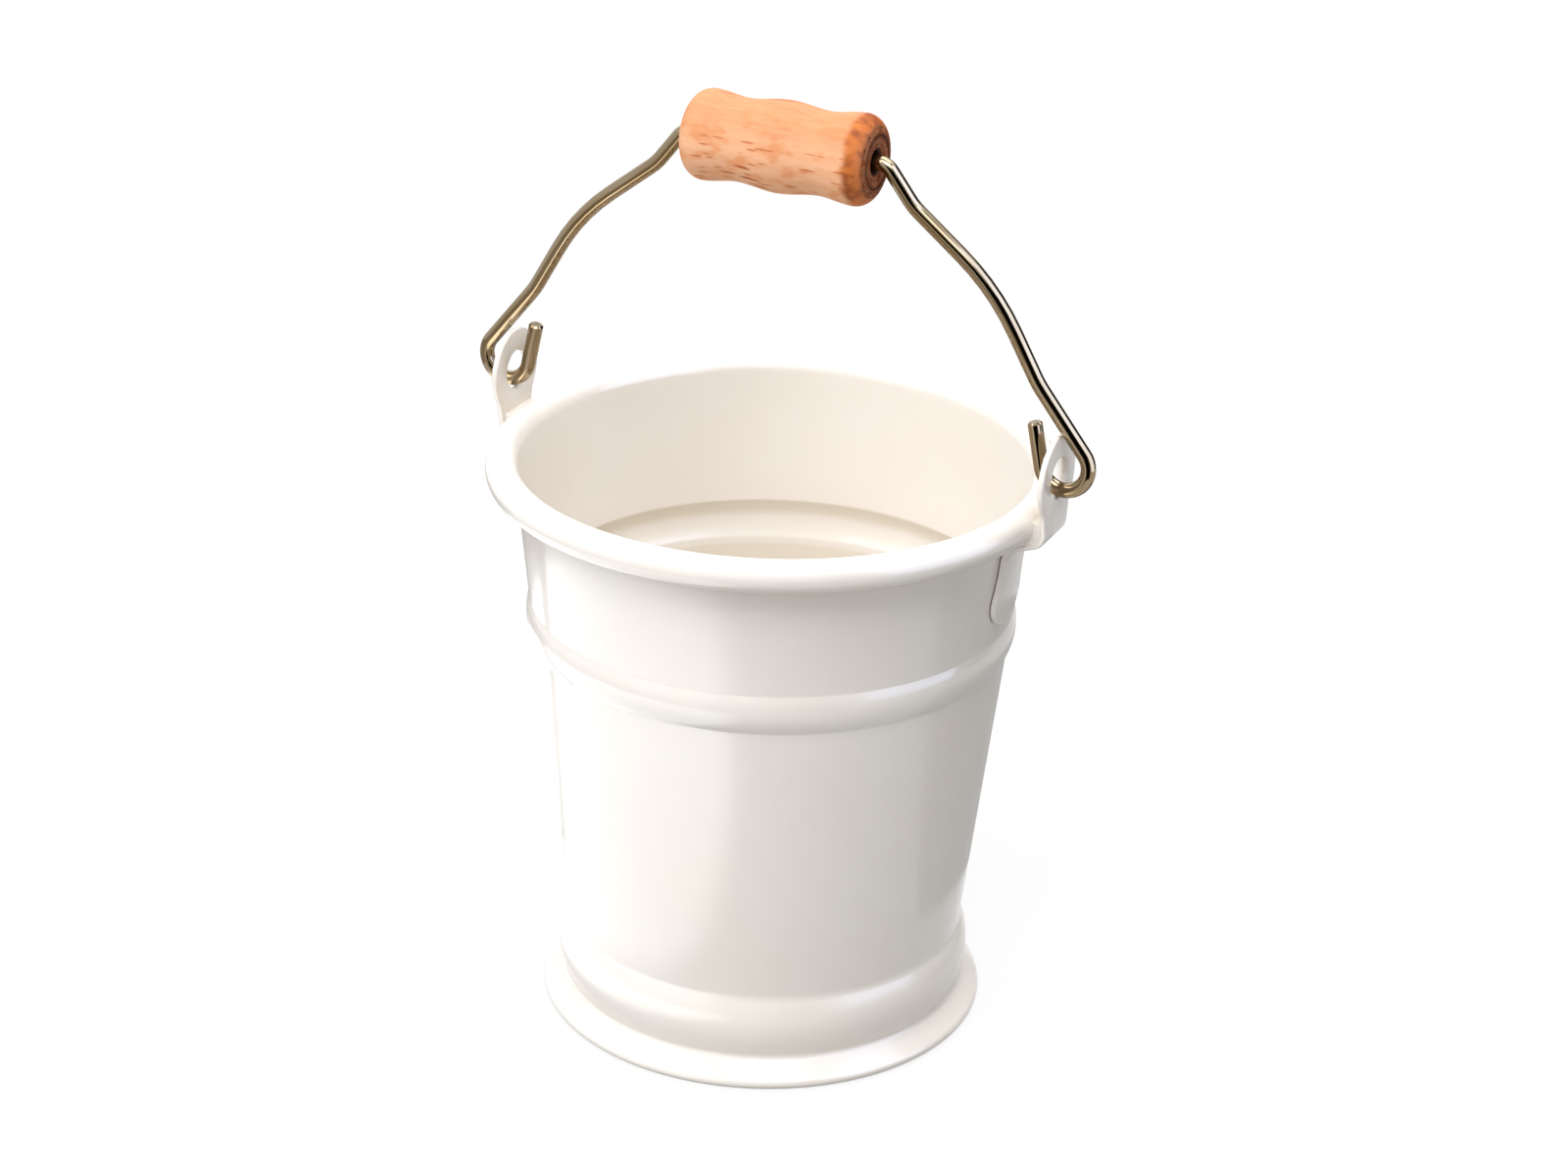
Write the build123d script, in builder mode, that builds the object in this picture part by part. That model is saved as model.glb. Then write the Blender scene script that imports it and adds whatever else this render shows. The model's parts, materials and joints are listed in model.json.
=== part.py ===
from build123d import *
from math import acos, asin, atan2, cos, degrees, hypot, radians, sin, tan
import os

# A small coated sheet-metal pail with a wire bail and a turned wooden grip.
# Millimetres. +Z is up and +X runs through the two ears.
# The origin is the centre of the foot circle, on the floor.

# Pail body: overall sizes
RIM_DIAMETER = 96.0
PAIL_HEIGHT = 100.0
BASE_DIAMETER = 68.6
SHEET = 0.7
ROLL_DIAMETER = 5.4
ROLL_GAP = 0.5

# Pail body: bulged base above the flared foot, each proud of the base diameter
BULGE_PROUD = 1.4
BULGE_SPAN = 11.0
BULGE_EASE = 3.0
VALLEY_HEIGHT = 4.2
VALLEY_BEND = 0.9
FOOT_PROUD = 3.9
HEM_BEND = 0.3
HEM_WIDTH = 1.9

# Pail body: swaged bead under the ears
BEAD_GAP = 3.6
BEAD_SPAN = 6.8
BEAD_PROUD = 0.85
BEAD_EASE = 0.8

# Bottom pan
PAN_CORNER = 2.2
PAN_SKIRT = 6.4
PAN_SEAT_ANGLE = 15.0
PAN_FIT = 0.15

# Ears
EAR_SHEET = 1.0
EAR_STANDOFF = 1.05
EAR_HEAD_RADIUS = 7.2
EYE_ABOVE_RIM = 5.2
EYE_PLAY = 4.1
EAR_WAIST = 8.8
EAR_WAIST_DROP = 9.0
EAR_NECK_TURN = 40.0
EAR_NECK_FILLET = 5.0
EAR_KNEE_DROP = 5.0
EAR_SEAT_DROP = 7.4
EAR_BEND = 2.4
TAB_RADIUS = 5.2
TAB_TURN = 20.0
TAB_LENGTH = 14.7
TAB_FIT = 0.05

# Bail wire
WIRE_DIAMETER = 2.5
BAIL_RISE = 48.9
EYE_GAP = 0.15
HOOK_RADIUS = 4.05
HOOK_LEG_GAP = 1.0
HOOK_LEAN = 12.0
HOOK_TIP = 7.6
TIP_CHAMFER = 0.3
ARM_GAP = 0.25
ANKLE_RUN = 9.0
ANKLE_BEND = 15.0
KNEE_INSET = 13.55
KNEE_DROP = 17.5
KNEE_BEND = 38.0
EXIT_ANGLE = 52.0
EXIT_RUN = 7.9
EXIT_BEND = 3.0
SHOULDER_RUN_BEND = 10.0

# Grip
GRIP_LENGTH = 32.6
GRIP_SWELL = 15.0
GRIP_WAIST = 13.56
GRIP_CREST = 14.9
GRIP_WAIST_INSET = 8.5
GRIP_END_ROUND = 3.0
BORE_PLAY = 1.5
BORE_CHAMFER = 0.4
GRIP_END_PLAY = 0.2


def tangent_past(first, first_radius, second, second_radius):
    """Touch points and heading of the straight that passes two circles, both on its right."""
    across = second[0] - first[0]
    up = second[1] - first[1]
    heading = atan2(up, across) - asin((first_radius - second_radius) / hypot(across, up))
    left = (-sin(heading), cos(heading))
    start = (first[0] + first_radius * left[0], first[1] + first_radius * left[1])
    end = (second[0] + second_radius * left[0], second[1] + second_radius * left[1])
    return start, end, degrees(heading)


# The wall's middle line runs from the crease over the bulge to where it meets the curl of the rim.
HALF_SHEET = SHEET / 2
BASE_MIDDLE = BASE_DIAMETER / 2 - HALF_SHEET
CREASE_POINT = (BASE_MIDDLE, VALLEY_HEIGHT + BULGE_SPAN)
ROLL_CENTRE = (RIM_DIAMETER / 2 - ROLL_DIAMETER / 2, PAIL_HEIGHT - ROLL_DIAMETER / 2)
ROLL_MIDDLE = ROLL_DIAMETER / 2 - HALF_SHEET
_, ROLL_START, WALL_HEADING = tangent_past(CREASE_POINT, 0, ROLL_CENTRE, ROLL_MIDDLE)
WALL_SLOPE = 1 / tan(radians(WALL_HEADING))


def wall_middle(height, proud=0.0):
    """Point on the wall's middle line at a height, moved outward by the given amount."""
    radius = CREASE_POINT[0] + (height - CREASE_POINT[1]) * WALL_SLOPE
    return radius + proud, height


# Ear places: the strap stands off the rim, passes under the curl and lies on the wall.
EAR_MIDDLE = RIM_DIAMETER / 2 + EAR_STANDOFF + EAR_SHEET / 2
EYE_DIAMETER = WIRE_DIAMETER + EYE_PLAY
EYE_HEIGHT = PAIL_HEIGHT + EYE_ABOVE_RIM
EAR_TOP = EYE_HEIGHT + EAR_HEAD_RADIUS
EAR_KNEE = (EAR_MIDDLE, PAIL_HEIGHT - EAR_KNEE_DROP)
EAR_SEAT_HEIGHT = PAIL_HEIGHT - EAR_SEAT_DROP
TAB_BOTTOM = EAR_SEAT_HEIGHT - TAB_LENGTH
BEAD_HEIGHT = TAB_BOTTOM - BEAD_GAP - BEAD_SPAN / 2

# Pail body: one sheet from the hem of the foot to the end of the rim's curl
VALLEY_POINT = (BASE_MIDDLE, VALLEY_HEIGHT)
BULGE_POINT = (BASE_MIDDLE + BULGE_PROUD, VALLEY_HEIGHT + BULGE_SPAN / 2)
BEAD_LOW = wall_middle(BEAD_HEIGHT - BEAD_SPAN / 2)
BEAD_HIGH = wall_middle(BEAD_HEIGHT + BEAD_SPAN / 2)
HEM_MIDDLE = HEM_BEND + HALF_SHEET
HEM_CENTRE = (BASE_DIAMETER / 2 + FOOT_PROUD - HEM_BEND - SHEET, HEM_BEND + SHEET)
HEM_START = (HEM_CENTRE[0], HALF_SHEET)
HEM_INNER = (HEM_START[0] - HEM_WIDTH, HALF_SHEET)
FLARE_HEADING = tangent_past(VALLEY_POINT, 0, HEM_CENTRE, HEM_MIDDLE)[-1]
ROLL_TURN = 360 - degrees(acos(1 - (ROLL_GAP + SHEET) / ROLL_MIDDLE))
CORNER_BENDS = {
    VALLEY_POINT: VALLEY_BEND,
    CREASE_POINT: BULGE_EASE,
    BEAD_LOW: BEAD_EASE,
    BEAD_HIGH: BEAD_EASE,
}

with BuildPart() as pail_body:
    with BuildSketch(Plane.XZ) as sheet_section:
        with BuildLine() as sheet_line:
            Line(HEM_INNER, HEM_START)
            hem = JernArc(HEM_START, (1, 0), HEM_MIDDLE, 180 + FLARE_HEADING)
            Line(hem @ 1, VALLEY_POINT)
            ThreePointArc(VALLEY_POINT, BULGE_POINT, CREASE_POINT)
            Line(CREASE_POINT, BEAD_LOW)
            ThreePointArc(BEAD_LOW, wall_middle(BEAD_HEIGHT, BEAD_PROUD), BEAD_HIGH)
            Line(BEAD_HIGH, ROLL_START)
            curl_heading = (cos(radians(WALL_HEADING)), sin(radians(WALL_HEADING)))
            JernArc(ROLL_START, curl_heading, ROLL_MIDDLE, -ROLL_TURN)
            for corner, outer_radius in CORNER_BENDS.items():
                fillet(sheet_line.vertices().sort_by_distance(corner)[0], outer_radius + HALF_SHEET)
            offset(amount=HALF_SHEET, side=Side.BOTH)
        make_face()
    revolve(axis=Axis.Z)

# Bottom pan: a pressed disc with a turned-down skirt, its corner seated in the bulge that is rolled round it
BULGE_RADIUS = (BULGE_SPAN ** 2 / 4 + BULGE_PROUD ** 2) / (2 * BULGE_PROUD)
BULGE_CENTRE = (BULGE_POINT[0] - BULGE_RADIUS, BULGE_POINT[1])
PAN_ROUND = PAN_CORNER + HALF_SHEET
PAN_REACH = BULGE_RADIUS - HALF_SHEET - PAN_FIT - PAN_ROUND
PAN_RADIUS = BULGE_CENTRE[0] + PAN_REACH * cos(radians(PAN_SEAT_ANGLE)) + PAN_ROUND
PAN_TOP = BULGE_CENTRE[1] + PAN_REACH * sin(radians(PAN_SEAT_ANGLE)) + PAN_ROUND

with BuildPart() as bottom_pan:
    with BuildSketch(Plane.XZ) as pan_section:
        with BuildLine() as pan_line:
            FilletPolyline(
                (0, PAN_TOP - HALF_SHEET),
                (PAN_RADIUS - HALF_SHEET, PAN_TOP - HALF_SHEET),
                (PAN_RADIUS - HALF_SHEET, PAN_TOP - PAN_SKIRT),
                radius=PAN_CORNER,
            )
        trace(line_width=SHEET)
    revolve(axis=Axis.Z)

# Ears: the strap's section is bent under the curl, then cut to the outline seen along X
TAB_MIDDLE = HALF_SHEET + TAB_FIT + EAR_SHEET / 2
TAB_CENTRE = TAB_BOTTOM + TAB_RADIUS
WAIST_SIDE = (EAR_WAIST / 2, PAIL_HEIGHT - EAR_WAIST_DROP)
NECK_TURN = radians(EAR_NECK_TURN)
HEAD_SIDE = (EAR_HEAD_RADIUS * cos(NECK_TURN), EYE_HEIGHT - EAR_HEAD_RADIUS * sin(NECK_TURN))
TAB_SIDE = (TAB_RADIUS * cos(radians(TAB_TURN)), TAB_CENTRE + TAB_RADIUS * sin(radians(TAB_TURN)))

with BuildPart() as ear_right:
    with BuildSketch(Plane.XZ) as strap_section:
        with BuildLine() as strap_line:
            FilletPolyline(
                (EAR_MIDDLE, EAR_TOP),
                EAR_KNEE,
                wall_middle(EAR_SEAT_HEIGHT, TAB_MIDDLE),
                wall_middle(TAB_BOTTOM, TAB_MIDDLE),
                radius=EAR_BEND,
            )
        trace(line_width=EAR_SHEET)
    extrude(amount=EAR_HEAD_RADIUS + EAR_SHEET, both=True)
    with BuildSketch(Plane.YZ) as ear_outline:
        with BuildLine() as ear_line:
            ThreePointArc((0, EAR_TOP), (EAR_HEAD_RADIUS, EYE_HEIGHT), HEAD_SIDE)
            ThreePointArc(HEAD_SIDE, WAIST_SIDE, TAB_SIDE)
            ThreePointArc(TAB_SIDE, (TAB_RADIUS, TAB_CENTRE), (0, TAB_BOTTOM))
            mirror(about=Plane.YZ)
        make_face()
        neck_corners = ear_outline.vertices().filter_by(lambda v: abs(v.Y) > EAR_SHEET)
        fillet(neck_corners, radius=EAR_NECK_FILLET)
    extrude(amount=RIM_DIAMETER, mode=Mode.INTERSECT)
    with BuildSketch(Plane.YZ) as eye_section:
        with Locations((0, EYE_HEIGHT)):
            Circle(EYE_DIAMETER / 2)
    extrude(amount=RIM_DIAMETER, mode=Mode.SUBTRACT)

with BuildPart() as ear_left:
    mirror(ear_right.part, about=Plane.YZ)

# Bail wire: half of the bent wire, from the middle of the grip to the tip of one hook
PIVOT_HEIGHT = EYE_HEIGHT - EYE_DIAMETER / 2 + EYE_GAP + WIRE_DIAMETER / 2
GRIP_HEIGHT = PIVOT_HEIGHT + BAIL_RISE
HOOK_LEG = EAR_MIDDLE - EAR_SHEET / 2 - HOOK_LEG_GAP - WIRE_DIAMETER / 2
HOOK_CENTRE = (HOOK_LEG + HOOK_RADIUS, PIVOT_HEIGHT + HOOK_RADIUS)
EAR_CORNER = (EAR_MIDDLE + EAR_SHEET / 2, EAR_TOP)
ARM_CLEAR = WIRE_DIAMETER / 2 + ARM_GAP
ARM_PAST_EAR, HOOK_START, ARM_HEADING = tangent_past(EAR_CORNER, ARM_CLEAR, HOOK_CENTRE, HOOK_RADIUS)
ARM_WAY = (cos(radians(ARM_HEADING)), sin(radians(ARM_HEADING)))
BAIL_ANKLE = (ARM_PAST_EAR[0] - ANKLE_RUN * ARM_WAY[0], ARM_PAST_EAR[1] - ANKLE_RUN * ARM_WAY[1])
BAIL_KNEE = (HOOK_CENTRE[0] - KNEE_INSET, GRIP_HEIGHT - KNEE_DROP)
EXIT_SETBACK = EXIT_BEND * tan(radians(EXIT_ANGLE / 2))
EXIT_CORNER = (GRIP_LENGTH / 2 + GRIP_END_PLAY + EXIT_SETBACK, GRIP_HEIGHT)
BAIL_SHOULDER = (
    EXIT_CORNER[0] + EXIT_RUN * cos(radians(EXIT_ANGLE)),
    EXIT_CORNER[1] - EXIT_RUN * sin(radians(EXIT_ANGLE)),
)
HOOK_TURN = ARM_HEADING + 270.0 - HOOK_LEAN

with BuildPart() as bail_wire:
    with BuildLine(Plane.XZ) as wire_line:
        FilletPolyline(
            (0, GRIP_HEIGHT),
            EXIT_CORNER,
            BAIL_SHOULDER,
            BAIL_KNEE,
            BAIL_ANKLE,
            HOOK_START,
            radius=[EXIT_BEND, SHOULDER_RUN_BEND, KNEE_BEND, ANKLE_BEND],
        )
        hook = JernArc(HOOK_START, ARM_WAY, HOOK_RADIUS, -HOOK_TURN)
        PolarLine(hook @ 1, HOOK_TIP, direction=hook % 1)
    with BuildSketch(Plane.YZ) as wire_section:
        with Locations((0, GRIP_HEIGHT)):
            Circle(WIRE_DIAMETER / 2)
    sweep(path=wire_line.line)
    tip_face = bail_wire.faces().filter_by(GeomType.PLANE).sort_by(Axis.X)[-1]
    chamfer(tip_face.edges(), TIP_CHAMFER)
    mirror(about=Plane.YZ)

# Grip: turned profile with two shallow waists, bored through for the wire
GRIP_BORE = WIRE_DIAMETER + BORE_PLAY
GRIP_HALF = GRIP_LENGTH / 2
CREST_OUT = GRIP_HALF - GRIP_END_ROUND
WAIST_OUT = GRIP_HALF - GRIP_WAIST_INSET

with BuildPart() as grip:
    with BuildSketch(Plane.XZ) as grip_section:
        with BuildLine() as grip_line:
            side = Spline(
                (-CREST_OUT, GRIP_HEIGHT + GRIP_CREST / 2),
                (-WAIST_OUT, GRIP_HEIGHT + GRIP_WAIST / 2),
                (0, GRIP_HEIGHT + GRIP_SWELL / 2),
                (WAIST_OUT, GRIP_HEIGHT + GRIP_WAIST / 2),
                (CREST_OUT, GRIP_HEIGHT + GRIP_CREST / 2),
                tangents=[(1, 0), (1, 0)],
            )
            right_round = JernArc(side @ 1, (1, 0), GRIP_END_ROUND, -90)
            left_round = JernArc(side @ 0, (-1, 0), GRIP_END_ROUND, 90)
            Polyline(
                right_round @ 1,
                (GRIP_HALF, GRIP_HEIGHT + GRIP_BORE / 2),
                (-GRIP_HALF, GRIP_HEIGHT + GRIP_BORE / 2),
                left_round @ 1,
            )
        make_face()
    revolve(axis=Axis((0, 0, GRIP_HEIGHT), (1, 0, 0)))
    bore_edges = grip.edges().filter_by(GeomType.CIRCLE).sort_by(SortBy.RADIUS)[:2]
    chamfer(bore_edges, BORE_CHAMFER)

PIECES = {
    "pail_body": pail_body,
    "bottom_pan": bottom_pan,
    "ear_left": ear_left,
    "ear_right": ear_right,
    "bail_wire": bail_wire,
    "grip": grip,
}

os.makedirs("parts", exist_ok=True)
for name, piece in PIECES.items():
    piece.part.label = name
    export_step(piece.part, f"parts/{name}.step")
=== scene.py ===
"""Looks of a small ivory-enamelled pail with a bright wire bail and a turned beech grip.

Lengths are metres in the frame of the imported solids: +Z is up, +X runs through the two ears,
and the origin is the centre of the foot circle, on the floor.
"""

import json
import logging
import math
from dataclasses import dataclass, field
from enum import Enum
from itertools import accumulate
from typing import Any

import bmesh
import bpy
from mathutils import Matrix, Vector


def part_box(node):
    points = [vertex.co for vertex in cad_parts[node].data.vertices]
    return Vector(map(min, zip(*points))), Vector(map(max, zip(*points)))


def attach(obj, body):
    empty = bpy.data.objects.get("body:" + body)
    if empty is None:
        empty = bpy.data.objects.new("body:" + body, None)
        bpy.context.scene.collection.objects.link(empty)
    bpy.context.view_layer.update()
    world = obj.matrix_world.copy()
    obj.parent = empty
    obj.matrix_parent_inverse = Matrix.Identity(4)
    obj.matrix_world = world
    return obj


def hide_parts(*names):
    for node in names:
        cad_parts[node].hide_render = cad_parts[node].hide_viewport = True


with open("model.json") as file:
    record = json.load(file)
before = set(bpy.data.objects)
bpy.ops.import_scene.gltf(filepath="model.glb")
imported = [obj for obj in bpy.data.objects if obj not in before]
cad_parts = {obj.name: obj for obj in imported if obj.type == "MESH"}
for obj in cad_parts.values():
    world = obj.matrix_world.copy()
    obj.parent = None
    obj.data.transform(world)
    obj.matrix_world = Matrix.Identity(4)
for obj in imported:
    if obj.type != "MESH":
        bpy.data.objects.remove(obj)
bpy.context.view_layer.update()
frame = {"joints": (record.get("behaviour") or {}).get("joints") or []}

log = logging.getLogger("pail")

Socket = bpy.types.NodeSocket
Material = bpy.types.Material
Mesh = bpy.types.Mesh
Piece = bpy.types.Object
Line = list[Vector]
Colour = tuple[float, float, float]
Pair = tuple[float, float]
# Feature size along X, feature size across it, and detail of a noise
Grain = tuple[float, float, float]
# Two values, and the levels at the first and the last where they aren't 0 and 1
Step = tuple[float, ...]

ARC_STEP = math.radians(5.0)
CREASE_ANGLE = math.radians(38.0)
LATHE_SIDES = 288
SAME_POINT = 1e-8
QUARTER = math.pi / 2


class Body(Enum):
    """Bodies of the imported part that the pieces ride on."""

    PAIL = "pail"
    BAIL = "bail"
    GRIP = "grip"


class Slot(Enum):
    """Material slots of the record."""

    ENAMEL = "ivory_enamel"
    WIRE = "bright_wire"
    BEECH = "beech"


class EarSide(Enum):
    """The two ends of the bail's swing line, by the sign of X."""

    LEFT = -1
    RIGHT = 1


# Flat lines


def flat(across: float, up: float) -> Vector:
    """Flat point or direction."""
    return Vector((across, up))


def turned(direction: Vector, angle: float) -> Vector:
    """Flat direction turned anticlockwise by an angle in radians."""
    return Matrix.Rotation(angle, 2) @ direction


def arc(centre: Vector, start: Vector, sweep: float) -> Line:
    """Points of an arc about a centre, from a first point through an angle, positive anticlockwise."""
    count = max(2, math.ceil(abs(sweep) / ARC_STEP))
    return [centre + turned(start - centre, sweep * step / count) for step in range(count + 1)]


def bend(start: Vector, heading: Vector, radius: float, sweep: float) -> Line:
    """Points of an arc that leaves a point along a heading, to its left for a positive angle."""
    centre = start + turned(heading, math.copysign(QUARTER, sweep)) * radius
    return arc(centre, start, sweep)


def rounded(corners: Line, radii: list[float]) -> Line:
    """Line through corners, each inner one rounded by an arc.

    Args:
        corners: the corner points, with both ends.
        radii: one radius for each inner corner.

    Returns:
        The points of the rounded line.
    """
    line = [corners[0]]
    for before, corner, after, radius in zip(corners, corners[1:], corners[2:], radii):
        back = (before - corner).normalized()
        ahead = (after - corner).normalized()
        half = back.angle(ahead) / 2
        centre = corner + (back + ahead).normalized() * (radius / math.sin(half))
        side = math.copysign(1.0, ahead.cross(back))
        line += arc(centre, corner + back * (radius / math.tan(half)), side * (math.pi - 2 * half))
    return joined(line, [corners[-1]])


def joined(*lines: Line) -> Line:
    """Lines put end to end, with a shared point kept once."""
    points = [point for line in lines for point in line]
    return points[:1] + [b for a, b in zip(points, points[1:]) if (b - a).length > SAME_POINT]


def chained(start: Vector, rounds: list[tuple[Vector, float]], end: Vector) -> Line:
    """Arcs that touch each other, from one point to another.

    Args:
        start: first point.
        rounds: centre and radius of each arc; the radius is negative where the arc runs clockwise.
        end: last point.

    Returns:
        The points of all the arcs.
    """
    touches = [here.lerp(there, r / (r - s)) for (here, r), (there, s) in zip(rounds, rounds[1:])]
    arcs = []
    for (centre, radius), first, last in zip(rounds, [start] + touches, touches + [end]):
        from_turn, to_turn = (math.atan2(*(point - centre).yx) for point in (first, last))
        side = math.copysign(1.0, radius)
        arcs.append(arc(centre, first, (to_turn - from_turn) * side % (2 * math.pi) * side))
    return joined(*arcs)


def travelled(line: Line, loop: bool) -> list[float]:
    """Distance along a line at each point, and at the end of a loop."""
    ends = line[1:] + line[:1] if loop else line[1:]
    return [0.0, *accumulate((end - start).length for start, end in zip(line, ends))]


def spaced(line: Line, longest: float) -> Line:
    """Divide the runs of a line.

    Args:
        line: the line.
        longest: length that no run exceeds.

    Returns:
        The points of the divided line.
    """
    points = [line[0]]
    for start, end in zip(line, line[1:]):
        count = max(1, math.ceil((end - start).length / longest))
        points += [start.lerp(end, step / count) for step in range(1, count + 1)]
    return points


def normals(line: Line) -> Line:
    """Left-hand normals of a line, long enough to keep parallel runs parallel.

    Args:
        line: the line.

    Returns:
        One normal for each point.
    """
    runs = [(end - start).normalized() for start, end in zip(line, line[1:])]
    middles = [(a + b).normalized() for a, b in zip(runs[:1] + runs, runs + runs[-1:])]
    return [turned(way, QUARTER) / way.dot(run) for way, run in zip(middles, runs + runs[-1:])]


def beside(line: Line, distance: float) -> Line:
    """Line beside another one, on its left for a positive distance."""
    return [point + normal * distance for point, normal in zip(line, normals(line))]


def passing(first: Vector, first_radius: float, second: Vector, second_radius: float) -> Line:
    """Straight that passes two circles, both on its right.

    Args:
        first: centre of the first circle.
        first_radius: its radius, or 0 for a point.
        second: centre of the second circle.
        second_radius: its radius.

    Returns:
        The touch point on the second circle and the unit heading.
    """
    gap = second - first
    heading = math.atan2(gap.y, gap.x) - math.asin((first_radius - second_radius) / gap.length)
    way = turned(flat(1.0, 0.0), heading)
    return [second + turned(way, QUARTER) * second_radius, way]


def circles_meet(first: Vector, first_radius: float, second: Vector, second_radius: float) -> Vector:
    """Point where two circles cross, on the left of the way from the first to the second.

    Args:
        first: centre of the first circle.
        first_radius: its radius.
        second: centre of the second circle.
        second_radius: its radius.

    Returns:
        The point.
    """
    gap = second - first
    way = gap.normalized()
    along = (gap.length_squared + first_radius**2 - second_radius**2) / (2 * gap.length)
    return first + way * along + turned(way, QUARTER) * math.sqrt(first_radius**2 - along**2)


def circle_through(first: Vector, second: Vector, third: Vector) -> tuple[Vector, float]:
    """Circle through three points.

    Args:
        first: one point.
        second: another one.
        third: the last one.

    Returns:
        The centre and the radius.
    """
    a, b = second - first, third - first
    offset = turned(a * b.length_squared - b * a.length_squared, QUARTER) / (2 * a.cross(b))
    return first + offset, offset.length


def eased(
    corner: Vector, way: Vector, centre: Vector, reach: float, radius: float, side: int
) -> Line:
    """Bend that eases a straight into a round, with both on the same corner.

    Args:
        corner: point where the straight and the round meet.
        way: unit direction of the straight, away from the corner.
        centre: centre of the round.
        reach: radius of the round.
        radius: radius of the bend.
        side: 1 where the bend lies on the left of the straight, -1 on its right.

    Returns:
        The centre of the bend and its touch point on the straight.
    """
    start = corner + turned(way, side * QUARTER) * radius
    gap = start - centre
    inward = gap.dot(way)
    along = math.sqrt(inward**2 - gap.length_squared + (reach + radius) ** 2) - inward
    return [start + way * along, corner + way * along]


# Meshes


def add_object(mesh: Mesh) -> Piece:
    """Put a mesh in the scene, smooth but for its sharp edges.

    Args:
        mesh: the mesh, which gives the piece its name.

    Returns:
        The piece.
    """
    mesh.shade_smooth()
    mesh.set_sharp_from_angle(angle=CREASE_ANGLE)
    piece = bpy.data.objects.new(mesh.name, mesh)
    bpy.context.scene.collection.objects.link(piece)
    return piece


def finished(name: str, skin: bmesh.types.BMesh) -> Piece:
    """Make a piece of a closed skin, turned outward.

    Args:
        name: name of the piece.
        skin: the skin, which is used up.

    Returns:
        The piece.
    """
    bmesh.ops.recalc_face_normals(skin, faces=skin.faces)
    mesh = bpy.data.meshes.new(name)
    skin.to_mesh(mesh)
    skin.free()
    return add_object(mesh)


def ringed(name: str, rows: list[Line], lengths: list[float], loop: bool) -> Piece:
    """Closed skin over rings of points, with UVs around and along.

    Args:
        name: name of the piece.
        rows: rings with the same number of points; a ring of one point is a pole.
        lengths: distance of each ring along the skin, and of the way back where it is a loop.
        loop: whether the last ring joins the first.

    Returns:
        The piece.
    """
    skin = bmesh.new()
    lay = skin.loops.layers.uv.new("lay")
    rings = [[skin.verts.new(point) for point in row] for row in rows]
    sides = max(len(ring) for ring in rings)
    for low, high, start, end in zip(rings, rings[1:] + rings[:loop], lengths, lengths[1:]):
        for side in range(sides):
            places = ((low, side, start), (low, side + 1, start), (high, side + 1, end), (high, side, end))
            corners = {ring[place % len(ring)]: (place / sides, along) for ring, place, along in places}
            for corner in skin.faces.new(list(corners)).loops:
                corner[lay].uv = corners[corner.vert]
    return finished(name, skin)


def lathe(name: str, outline: Line, loop: bool) -> Piece:
    """Revolve an outline about the Z axis.

    Args:
        name: name of the piece.
        outline: points of (radius, height).
        loop: whether the outline closes on itself; if not, it starts and ends on the axis.

    Returns:
        The turned piece.
    """
    turns = [2 * math.pi * side / LATHE_SIDES for side in range(LATHE_SIDES)]
    rows = []
    for radius, height in outline:
        ring = turns if radius > SAME_POINT else turns[:1]
        rows.append([Vector((radius * math.cos(a), radius * math.sin(a), height)) for a in ring])
    return ringed(name, rows, travelled(outline, loop), loop)


# Finishes


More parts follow.
